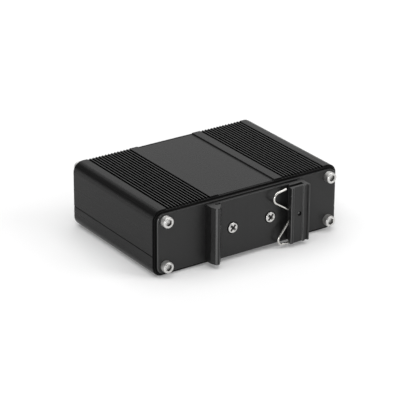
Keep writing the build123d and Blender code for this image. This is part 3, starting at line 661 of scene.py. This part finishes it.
# The same black oxide, a little greyer, over die lines that run along the clip.
anodised_clip, tree, shader, place = new_material("black_anodised_clip", {"IOR": 1.4})
line_scale = (1 / (die_line_spacing * MM), 1 / (die_line_spacing * MM), 1 / (die_line_run * MM))
lines = add_node(tree, "ShaderNodeMapping", {"Vector": place, "Scale": line_scale})
lines = add_node(tree, "ShaderNodeTexNoise", {"Vector": lines.outputs[0], "Scale": 1.0, "Detail": 3.0})
tone = add_node(tree, "ShaderNodeMix", {0: lines.outputs[0], 6: linear("#191919"), 7: linear("#222222")},
                data_type="RGBA")
tree.links.new(tone.outputs[2], shader.inputs["Base Color"])
gloss = add_node(tree, "ShaderNodeMapRange", {0: lines.outputs[0], **middle_range, 3: 0.3, 4: 0.38})
tree.links.new(gloss.outputs[0], shader.inputs["Roughness"])
bump = add_node(tree, "ShaderNodeBump",
                {"Height": lines.outputs[0], "Strength": 0.2, "Distance": fine_relief * MM})
tree.links.new(bump.outputs[0], shader.inputs["Normal"])
dress(din_clip, anodised_clip, "clip", "din_clip")
highlight_corners = np.array([(hook_end, hook_reach), (hook_end - hook_nose, hook_reach), (lip_x, bead_top),
                   (lip_x - lip_bead, bead_top), (channel_x + rib_width, rib_top), (channel_x, rib_top)])
highlight_reach = 0.8
punched_flat = 0.85


def on_highlight_corner(centre, normal):
    """Faces of the arcs at the corners that stand out furthest, which take the painted highlight."""
    away = np.linalg.norm(centre[:, None, :2] - highlight_corners - (0, rear_seat), axis=2).min(axis=1)
    side, along = np.abs(normal[:, 0]), np.abs(normal[:, 2])
    return (along < 0.5) & (side > 0.12) & (side < 0.95) & (away < highlight_reach)


def in_punch_mark(centre, normal):
    """Faces of the punch mark, without the flat face round it."""
    away = np.linalg.norm(centre - (punch_x, punch_middle, punch_z), axis=1)
    return (normal[:, 1] < 0.9999) & (away < punch_radius + 0.01)


# The clip's outermost rounded corners take the painted highlight.
refinish(din_clip, edge_painted_highlight, on_highlight_corner)
# Painted shade: the punch mark's walls get a near black, matt finish. Its struck bottom shows bare grey
# metal, made lighter as a painted highlight.
punch_painted_shade, tree, shader, place = new_material(
    "punch_walls_painted_shade", {"Base Color": linear("#101010"), "Roughness": 0.6, "IOR": 1.1})
punch_bottom_metal_and_highlight, tree, shader, place = new_material("punch_bottom_bare_metal_painted_highlight", {"Roughness": 0.7, "IOR": 1.15})
scratch_size = 0.1
scratch = add_node(tree, "ShaderNodeTexNoise",
                   {"Vector": place, "Scale": 1 / (scratch_size * MM), "Detail": 2.0})
tone = add_node(tree, "ShaderNodeMix", {0: scratch.outputs[0], 6: linear("#6a6a6a"), 7: linear("#8a8a8a")},
                data_type="RGBA")
tree.links.new(tone.outputs[2], shader.inputs["Base Color"])
# Painted shade on the mark's walls, then bare metal with a painted highlight on its bottom.
refinish(din_clip, punch_painted_shade, in_punch_mark)
refinish(din_clip, punch_bottom_metal_and_highlight, lambda centre, normal: in_punch_mark(centre, normal) & (
    normal[:, 1] > punched_flat))


# Spring: one bent length of bright spring wire. Its two bumps press on the rail's edge, its middle bend is
# held in the channel, and its foot turns back under the clip.
wire_radius = 0.46
tip_out, upper_bump, lower_bump, pinch_in, foot_in = 1.1, 7.1, 4.9, 3.3, 1.1
pinch_z = 14.5
foot_z = clip_low[2] - 0.1
wire_corners = np.array([
    (lip_x + tip_out, clip_high[2] - 0.65), (lip_x + upper_bump, clip_high[2] - 1.7),
    (lip_x + upper_bump - 0.1, clip_high[2] - 5.1), (lip_x - pinch_in, pinch_z),
    (lip_x + lower_bump, clip_low[2] + 2.5), (lip_x + lower_bump - 1.1, foot_z), (lip_x - foot_in, foot_z)])
wire_path = rounded(wire_corners, [0, 2.4, 2.4, 1.0, 1.9, 1.9, 0], steps=12)
wire_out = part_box("clip_spring")[1].y / MM - wire_radius


def wire(path, out, radius, points=20, end_round=0.25):
    """Rings round a flat path: each lies across the path's own direction, and shrinks at the cut ends."""
    far = np.concatenate([[0], np.cumsum(np.linalg.norm(np.diff(path, axis=0), axis=1))])
    even = np.linspace(0, far[-1], int(far[-1] / (0.6 * radius)))
    path = np.stack([np.interp(even, far, path[:, 0]), np.interp(even, far, path[:, 1])], axis=1)
    along = np.gradient(path, axis=0)
    along /= np.linalg.norm(along, axis=1, keepdims=True)
    path = np.concatenate([path[:1], path[:1] + along[:1] * end_round * radius, path[1:-1],
                           path[-1:] - along[-1:] * end_round * radius, path[-1:]])
    along = np.concatenate([along[:1], along, along[-1:]])
    size = np.full(len(path), radius)
    size[[0, -1]] *= 1 - end_round
    phi = np.linspace(0, 2 * np.pi, points, endpoint=False)
    across = np.cos(phi) * size[:, None]
    rise = np.sin(phi) * size[:, None]
    x = path[:, :1] - along[:, 1:] * rise
    z = path[:, 1:] + along[:, :1] * rise
    return np.stack([x, out + across, z], axis=-1) * MM


# Drawn through a die, the wire is smooth and shows the light as thin lines along it.
spring_wire, tree, shader, place = new_material(
    "bright_drawn_spring_wire", {"Base Color": linear("#d2d0cc"), "Metallic": 1.0})
drawn_size = 0.3
drawn = add_node(tree, "ShaderNodeTexNoise",
                 {"Vector": place, "Scale": 1 / (drawn_size * MM), "Detail": 2.0})
gloss = add_node(tree, "ShaderNodeMapRange", {0: drawn.outputs[0], **middle_range, 3: 0.2, 4: 0.3})
tree.links.new(gloss.outputs[0], shader.inputs["Roughness"])
clip_spring = skin("clip_spring_dressed", wire(wire_path, wire_out, wire_radius))
dress(clip_spring, spring_wire, "spring", "clip_spring")


# Clip screws: stainless low head screws with a cross recess, through the clip and the plate into two
# clinch nuts. The recess is pressed in: its four wings narrow towards the bottom.
pan_radius = 2.2
pan_height = 1.1
pan_crown = 0.35
wing_length = 3.2
wing_width = 0.95
wing_slope = 9.0
end_slope = 3.5
recess_depth_most = 1.3
pan_foot, pan_draw = 0.12, 0.1
clip_shank = 6.0


def cross_depth(x, z):
    """Depth of the cross recess at a point: each wing sinks from its sides and ends at its own slopes."""
    u, v = np.abs(x + z) / math.sqrt(2), np.abs(x - z) / math.sqrt(2)
    wings = [np.minimum((wing_width / 2 - narrow) * wing_slope, (wing_length / 2 - far) * end_slope)
             for far, narrow in ((u, v), (v, u))]
    return np.clip(np.maximum(*wings), 0, recess_depth_most)


crown_start = pan_radius - pan_crown
reach = np.concatenate([np.linspace(0.01, crown_start, 34),
                        crown_start + pan_crown * np.sin(np.linspace(0.1, np.pi / 2, 9))])
past = np.maximum(reach - crown_start, 0)
crown = pan_height - pan_crown + np.sqrt(np.maximum(pan_crown ** 2 - past ** 2, 0))
clip_screw = [(r, h - cross_depth(r * np.cos(turn), r * np.sin(turn))) for r, h in zip(reach, crown)]
clip_screw += [(pan_radius, pan_foot), (pan_radius - pan_draw, 0)]
clip_screw += threaded_shank(clip_shank, thread_radius, thread_depth, thread_pitch)
shells = [turned(clip_screw, x, seat_floor, z, 1) for x, z in clip_screw_places]
dress(merged("clip_screws_dressed", shells), stainless, "screws", "clip_screws")


# Clinch nuts: zinc plated steel, pressed into the rear plate's inner face, where they can't turn. The
# plating's crystals are a faint patchwork of greys.
zinc_plate, tree, shader, place = new_material("zinc_plated_steel", {"Metallic": 1.0, "Roughness": 0.4})
spangle_size = 0.8
spangle = add_node(tree, "ShaderNodeTexVoronoi", {"Vector": place, "Scale": 1 / (spangle_size * MM)})
tone = add_node(tree, "ShaderNodeMix", {0: spangle.outputs[0], 6: linear("#b9bbbb"), 7: linear("#cfd1d0")},
                data_type="RGBA")
tree.links.new(tone.outputs[2], shader.inputs["Base Color"])
finish_node("clip_nuts", zinc_plate)


# Ethernet jack: a folded shield of tin plated brass round a black insert of glass filled nylon. Eight gold
# plated contact wires bend back from the front of the socket's ceiling and spring down towards its rear.
board_top = 9.5
jack_middle = -1.5
socket_ceiling = board_top + 11.1
shield_edge, insert_edge = 0.12, 0.1
contact_count, contact_pitch, contact_radius = 8, 1.02, 0.16
contact_tail, contact_run, contact_drop = 1.3, 8.3, 2.25
contact_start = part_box("ethernet_jack_shield")[0].y / MM + 1.2
# Tin is a soft, slightly warm grey, with the cloudy grain of rolled sheet.
tin_plate, tree, shader, place = new_material("tin_plated_brass", {"Metallic": 1.0})
roll_size = 0.6
roll = add_node(tree, "ShaderNodeTexNoise", {"Vector": place, "Scale": 1 / (roll_size * MM), "Detail": 4.0})
tone = add_node(tree, "ShaderNodeMix", {0: roll.outputs[0], 6: linear("#b9b6ae"), 7: linear("#cdcac2")},
                data_type="RGBA")
tree.links.new(tone.outputs[2], shader.inputs["Base Color"])
gloss = add_node(tree, "ShaderNodeMapRange", {0: roll.outputs[0], **middle_range, 3: 0.22, 4: 0.38})
tree.links.new(gloss.outputs[0], shader.inputs["Roughness"])
dress(eased("ethernet_jack_shield", shield_edge, steps=3), tin_plate, "jack_shield", "ethernet_jack_shield")

# The glass fibres show as short, slightly paler streaks, drawn coarser than real ones.
black_nylon, tree, shader, place = new_material("glass_filled_black_nylon", {"Roughness": 0.48})
fibre_width, fibre_run = 0.2, 0.8
fibres = add_node(tree, "ShaderNodeMapping",
                  {"Vector": place, "Scale": (1.0, fibre_width / fibre_run, 1.0)})
fibres = add_node(tree, "ShaderNodeTexNoise",
                  {"Vector": fibres.outputs[0], "Scale": 1 / (fibre_width * MM), "Detail": 4.0})
tone = add_node(tree, "ShaderNodeMix", {0: fibres.outputs[0], 6: linear("#121213"), 7: linear("#1d1d1e")},
                data_type="RGBA")
tree.links.new(tone.outputs[2], shader.inputs["Base Color"])
bump = add_node(tree, "ShaderNodeBump",
                {"Height": fibres.outputs[0], "Strength": 0.35, "Distance": fine_relief * MM})
tree.links.new(bump.outputs[0], shader.inputs["Normal"])
dress(eased("ethernet_jack_insert", insert_edge), black_nylon, "jack_insert", "ethernet_jack_insert")

# Thin gold over drawn bronze wire is warm, with narrow highlights.
gold_plate, tree, shader, place = new_material(
    "gold_plated_bronze", {"Base Color": linear("#dcb050"), "Metallic": 1.0})
drawn_size = 0.15
drawn = add_node(tree, "ShaderNodeTexNoise",
                 {"Vector": place, "Scale": 1 / (drawn_size * MM), "Detail": 2.0})
gloss = add_node(tree, "ShaderNodeMapRange", {0: drawn.outputs[0], **middle_range, 3: 0.16, 4: 0.3})
tree.links.new(gloss.outputs[0], shader.inputs["Roughness"])
contact_path = rounded(
    [(contact_start + contact_tail, socket_ceiling + 0.1), (contact_start + 0.15, socket_ceiling - 0.15),
     (contact_start + contact_run, socket_ceiling - contact_drop)], [0, 0.2, 0], steps=8)
contact_middles = jack_middle + (np.arange(contact_count) - (contact_count - 1) / 2) * contact_pitch
contact_shells = [wire(contact_path, middle, contact_radius, points=12)[..., [1, 0, 2]]
                  for middle in contact_middles]
contacts = merged("ethernet_jack_contacts_dressed", contact_shells)
dress(contacts, gold_plate, "contacts", "ethernet_jack_contacts")


# Fibre transceiver: a duplex module moulded in black polymer, with two keyed ports and a ceramic sleeve
# in each. Its nine pins go down into the board.
transceiver_edge, sleeve_edge = 0.18, 0.2
# A spark eroded mould leaves an even, matt grain.
black_polymer, tree, shader, place = new_material("fine_textured_black_polymer", {"Roughness": 0.5})
spark_size = 0.25
spark = add_node(tree, "ShaderNodeTexVoronoi", {"Vector": place, "Scale": 1 / (spark_size * MM)})
tone = add_node(tree, "ShaderNodeMix", {0: spark.outputs[0], 6: linear("#17181a"), 7: linear("#222325")},
                data_type="RGBA")
tree.links.new(tone.outputs[2], shader.inputs["Base Color"])
bump = add_node(tree, "ShaderNodeBump",
                {"Height": spark.outputs[0], "Strength": 0.4, "Distance": fine_relief * MM})
tree.links.new(bump.outputs[0], shader.inputs["Normal"])
transceiver = eased("fibre_transceiver", transceiver_edge, steps=3)
dress(transceiver, black_polymer, "transceiver", "fibre_transceiver")

# Sintered and polished, the ceramic is white and glossy.
zirconia, tree, shader, place = new_material("white_zirconia_ceramic", {"Roughness": 0.2, "IOR": 1.8})
sinter_size = 0.5
sinter = add_node(tree, "ShaderNodeTexNoise",
                  {"Vector": place, "Scale": 1 / (sinter_size * MM), "Detail": 2.0})
tone = add_node(tree, "ShaderNodeMix", {0: sinter.outputs[0], 6: linear("#dcdad2"), 7: linear("#ebe9e3")},
                data_type="RGBA")
tree.links.new(tone.outputs[2], shader.inputs["Base Color"])
dress(eased("fibre_sleeves", sleeve_edge, steps=3), zirconia, "sleeves", "fibre_sleeves")

# Dipped in tin, the pins have soft and uneven highlights.
tinned_pin, tree, shader, place = new_material(
    "tinned_phosphor_bronze", {"Base Color": linear("#c4c2bd"), "Metallic": 1.0})
dip_size = 0.4
dip = add_node(tree, "ShaderNodeTexNoise", {"Vector": place, "Scale": 1 / (dip_size * MM), "Detail": 3.0})
gloss = add_node(tree, "ShaderNodeMapRange", {0: dip.outputs[0], **middle_range, 3: 0.25, 4: 0.42})
tree.links.new(gloss.outputs[0], shader.inputs["Roughness"])
finish_node("fibre_pins", tinned_pin)


# Power header: a moulded shroud of green polyester round three square pins, soldered to the board, for
# the plug of a screw terminal. Moulding leaves faint flow marks in its colour and gloss.
header_edge, pin_edge = 0.15, 0.12
green_polyester, tree, shader, place = new_material("moulded_green_polyester")
flow_size = 1.2
flow = add_node(tree, "ShaderNodeTexNoise", {"Vector": place, "Scale": 1 / (flow_size * MM), "Detail": 4.0})
tone = add_node(tree, "ShaderNodeMix", {0: flow.outputs[0], 6: linear("#23773a"), 7: linear("#2c8544")},
                data_type="RGBA")
tree.links.new(tone.outputs[2], shader.inputs["Base Color"])
gloss = add_node(tree, "ShaderNodeMapRange", {0: flow.outputs[0], **middle_range, 3: 0.34, 4: 0.46})
tree.links.new(gloss.outputs[0], shader.inputs["Roughness"])
dress(eased("power_header", header_edge, steps=3), green_polyester, "header", "power_header")
dress(eased("power_pins", pin_edge), tinned_pin, "pins", "power_pins")


# Indicator lamps: four light emitting diodes, unlit, in a holder of the jack insert's black nylon. Their
# domes are cast of clouded epoxy, a pale and hazy green with a hard gloss.
lamp_middles = [(x, z) for x in (-18.4, -13.4) for z in (12.3, 17.3)]
lamp_radius = 1.45
lamp_dome = 1.16
lamp_low, lamp_high = (np.array(corner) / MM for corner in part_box("indicator_lamps"))
lamp_length = lamp_high[1] - lamp_low[1]
clouded_epoxy, tree, shader, place = new_material("clouded_green_epoxy", {"Roughness": 0.12, "IOR": 1.55})
haze_size = 0.9
haze = add_node(tree, "ShaderNodeTexNoise", {"Vector": place, "Scale": 1 / (haze_size * MM), "Detail": 2.0})
tone = add_node(tree, "ShaderNodeMix", {0: haze.outputs[0], 6: linear("#7fb277"), 7: linear("#9ac792")},
                data_type="RGBA")
tree.links.new(tone.outputs[2], shader.inputs["Base Color"])
dome = [(lamp_radius * np.cos(a), lamp_length - lamp_dome * (1 - np.sin(a)))
        for a in np.linspace(0, np.pi / 2 - 0.02, 10)]
lamp_shape = [(lamp_radius, 0), *dome]
lamp_shells = [turned(lamp_shape, x, lamp_high[1], z, -1) for x, z in lamp_middles]
lamps = merged("indicator_lamps_dressed", lamp_shells)
dress(lamps, clouded_epoxy, "lamps", "indicator_lamps")
finish_node("indicator_housing", black_nylon)


# Chips, isolation transformer and regulator: matt black moulding compound, pressed round tinned leads
# that are soldered to the board. Up to lead_height above the board these nodes are only their leads.
lead_height = 0.21
compound, tree, shader, place = new_material("moulding_compound_with_tinned_leads")
silica_size = 0.12
silica = add_node(tree, "ShaderNodeTexNoise",
                  {"Vector": place, "Scale": 1 / (silica_size * MM), "Detail": 3.0})
height = add_node(tree, "ShaderNodeSeparateXYZ", {0: place})
lead = add_node(tree, "ShaderNodeMath", {0: height.outputs[2], 1: (board_top + lead_height) * MM},
                operation="LESS_THAN")
tone = add_node(tree, "ShaderNodeMix", {0: silica.outputs[0], 6: linear("#19191a"), 7: linear("#252526")},
                data_type="RGBA")
tone = add_node(tree, "ShaderNodeMix", {0: lead.outputs[0], 6: tone.outputs[2], 7: linear("#c2c1bd")},
                data_type="RGBA")
tree.links.new(tone.outputs[2], shader.inputs["Base Color"])
tree.links.new(lead.outputs[0], shader.inputs["Metallic"])
gloss = add_node(tree, "ShaderNodeMapRange", {0: lead.outputs[0], 3: 0.6, 4: 0.32})
tree.links.new(gloss.outputs[0], shader.inputs["Roughness"])
for chip_name in ("converter_chip", "memory_chip", "isolation_transformer", "voltage_regulator"):
    finish_node(chip_name, compound)


# Power inductor: a drum of sintered ferrite on its foot, soldered to the board. Sintering leaves it
# matt and dark grey, with fine pores.
ferrite, tree, shader, place = new_material("sintered_ferrite", {"Roughness": 0.65})
pores_size = 0.2
pores = add_node(tree, "ShaderNodeTexVoronoi", {"Vector": place, "Scale": 1 / (pores_size * MM)})
tone = add_node(tree, "ShaderNodeMix", {0: pores.outputs[0], 6: linear("#2b2b2d"), 7: linear("#3a3a3b")},
                data_type="RGBA")
tree.links.new(tone.outputs[2], shader.inputs["Base Color"])
finish_node("power_inductor", ferrite)


# Supply capacitors: drawn aluminium cans, each on a foot of black plastic that reaches foot_height above
# the board. The bare metal is bright, with soft highlights.
foot_height = 0.91
can, tree, shader, place = new_material("aluminium_can_on_black_foot", {"Roughness": 0.32})
spun_size = 0.5
spun = add_node(tree, "ShaderNodeTexNoise", {"Vector": place, "Scale": 1 / (spun_size * MM), "Detail": 2.0})
height = add_node(tree, "ShaderNodeSeparateXYZ", {0: place})
above = add_node(tree, "ShaderNodeMath", {0: height.outputs[2], 1: (board_top + foot_height) * MM},
                 operation="GREATER_THAN")
tone = add_node(tree, "ShaderNodeMix", {0: spun.outputs[0], 6: linear("#bdbdbb"), 7: linear("#cfcfcd")},
                data_type="RGBA")
tone = add_node(tree, "ShaderNodeMix", {0: above.outputs[0], 6: linear("#1b1b1b"), 7: tone.outputs[2]},
                data_type="RGBA")
tree.links.new(tone.outputs[2], shader.inputs["Base Color"])
tree.links.new(above.outputs[0], shader.inputs["Metallic"])
finish_node("supply_capacitors", can)


# Clock crystal: a drawn can of nickel plated steel with a welded rim. Drawing leaves faint upright lines
# in its warm shine.
nickel_can, tree, shader, place = new_material(
    "nickel_plated_can", {"Base Color": linear("#c3c0b8"), "Metallic": 1.0})
drawn_width, drawn_run = 0.4, 2.0
drawing = add_node(tree, "ShaderNodeMapping",
                   {"Vector": place, "Scale": (1.0, 1.0, drawn_width / drawn_run)})
drawing = add_node(tree, "ShaderNodeTexNoise",
                   {"Vector": drawing.outputs[0], "Scale": 1 / (drawn_width * MM), "Detail": 3.0})
gloss = add_node(tree, "ShaderNodeMapRange", {0: drawing.outputs[0], **middle_range, 3: 0.2, 4: 0.36})
tree.links.new(gloss.outputs[0], shader.inputs["Roughness"])
finish_node("clock_crystal", nickel_can)


# Floor and room: a white laminate table that runs on without an edge. It is shaded near the object, from
# floor_shade at shade_start metres to white at shade_end, where it meets the white room.
floor_reach = 3.0
floor_drop = 0.05
floor_shade = 0.17
shade_start, shade_end = 0.12, 0.6
floor = bpy.data.objects.new("studio_floor", bpy.data.meshes.new("studio_floor"))
floor_corners = [(x * floor_reach, y * floor_reach, -floor_drop * MM)
                 for x, y in ((-1, -1), (1, -1), (1, 1), (-1, 1))]
floor.data.from_pydata(floor_corners, [], [(0, 1, 2, 3)])
bpy.context.scene.collection.objects.link(floor)
white_table, tree, shader, place = new_material(
    "white_table", {"Base Color": linear("#e6e6e6"), "Roughness": 0.9, "Emission Color": (1, 1, 1, 1)})
rays = add_node(tree, "ShaderNodeLightPath")
seen = add_node(tree, "ShaderNodeMath", {0: rays.outputs["Is Camera Ray"], 1: rays.outputs["Is Glossy Ray"]},
                operation="MAXIMUM")
seen = add_node(tree, "ShaderNodeMath", {0: seen.outputs[0], 1: rays.outputs["Is Transmission Ray"]},
                operation="MAXIMUM")
away = add_node(tree, "ShaderNodeVectorMath", {0: place}, operation="LENGTH")
level = add_node(tree, "ShaderNodeMapRange",
                 {0: away.outputs["Value"], 1: shade_start, 2: shade_end, 3: floor_shade, 4: 1.0})
glow = add_node(tree, "ShaderNodeMath", {0: seen.outputs[0], 1: level.outputs[0]}, operation="MULTIPLY")
tree.links.new(glow.outputs[0], shader.inputs["Emission Strength"])
floor.data.materials.append(white_table)

world = bpy.data.worlds.new("studio")
bpy.context.scene.world = world
world.use_nodes = True
tree = world.node_tree
room_level = 0.15
rays = add_node(tree, "ShaderNodeLightPath")
level = add_node(tree, "ShaderNodeMapRange", {0: rays.outputs["Is Camera Ray"], 3: room_level, 4: 1.0})
backdrop = tree.nodes["Background"]
backdrop.inputs["Color"].default_value = (1, 1, 1, 1)
tree.links.new(level.outputs[0], backdrop.inputs["Strength"])


# Soft boxes: the main ones right of the camera and overhead, three behind that give the top, the rounded
# edge and the side their sheen, and one in front. Places and sizes in metres, powers in watts.
for lamp_name, lamp_place, lamp_size, lamp_watts in (
    ("soft_box_right", (-0.75, 0.8, 0.8), 0.6, 4.5),
    ("soft_box_behind", (-0.75, -1.05, 0.6), 0.8, 1.8),
    ("soft_box_behind_high", (-0.17, -1.05, 0.86), 0.6, 1.0),
    ("soft_box_low", (0.92, -1.05, 0.14), 0.4, 0.5),
    ("soft_box_overhead", (0.1, 0.0, 1.3), 1.8, 20.0),
    ("soft_box_front", (0.9, 1.0, 0.16), 0.3, 4.0),
):
    lamp = bpy.data.lights.new(lamp_name, "AREA")
    lamp.shape = "SQUARE"
    lamp.size = lamp_size
    lamp.energy = lamp_watts
    soft_box = bpy.data.objects.new(lamp_name, lamp)
    bpy.context.scene.collection.objects.link(soft_box)
    facing = Vector(lamp_place).to_track_quat("Z", "Y").to_matrix().to_4x4()
    soft_box.matrix_world = Matrix.Translation(lamp_place) @ facing


# Camera: where the photograph was taken from, with its roll of a third of a degree. Its place is in
# millimetres, its turn is from -Y towards -X, and it looks down by its dip.
camera_place = (454.7, 661.8, 368.0)
camera_turn, camera_dip, camera_roll = (math.radians(angle) for angle in (34.52, 24.11, 0.385))
lens, sensor_width = 186.16, 36
nearest, furthest = 0.05, 20
ahead = Vector((-math.sin(camera_turn) * math.cos(camera_dip),
                -math.cos(camera_turn) * math.cos(camera_dip),
                -math.sin(camera_dip)))
level_right = Vector((-math.cos(camera_turn), math.sin(camera_turn), 0))
level_up = level_right.cross(ahead)
right = level_right * math.cos(camera_roll) + level_up * math.sin(camera_roll)
up = level_up * math.cos(camera_roll) - level_right * math.sin(camera_roll)
camera_data = bpy.data.cameras.new("photograph_view")
camera_data.lens = lens
camera_data.sensor_width = sensor_width
camera_data.clip_start, camera_data.clip_end = nearest, furthest
camera = bpy.data.objects.new("photograph_view", camera_data)
facing = Matrix((right, up, -ahead)).transposed().to_4x4()
camera.matrix_world = Matrix.Translation(Vector(camera_place) * MM) @ facing
bpy.context.scene.collection.objects.link(camera)
bpy.context.scene.camera = camera
bpy.context.scene.view_settings.view_transform = "Standard"
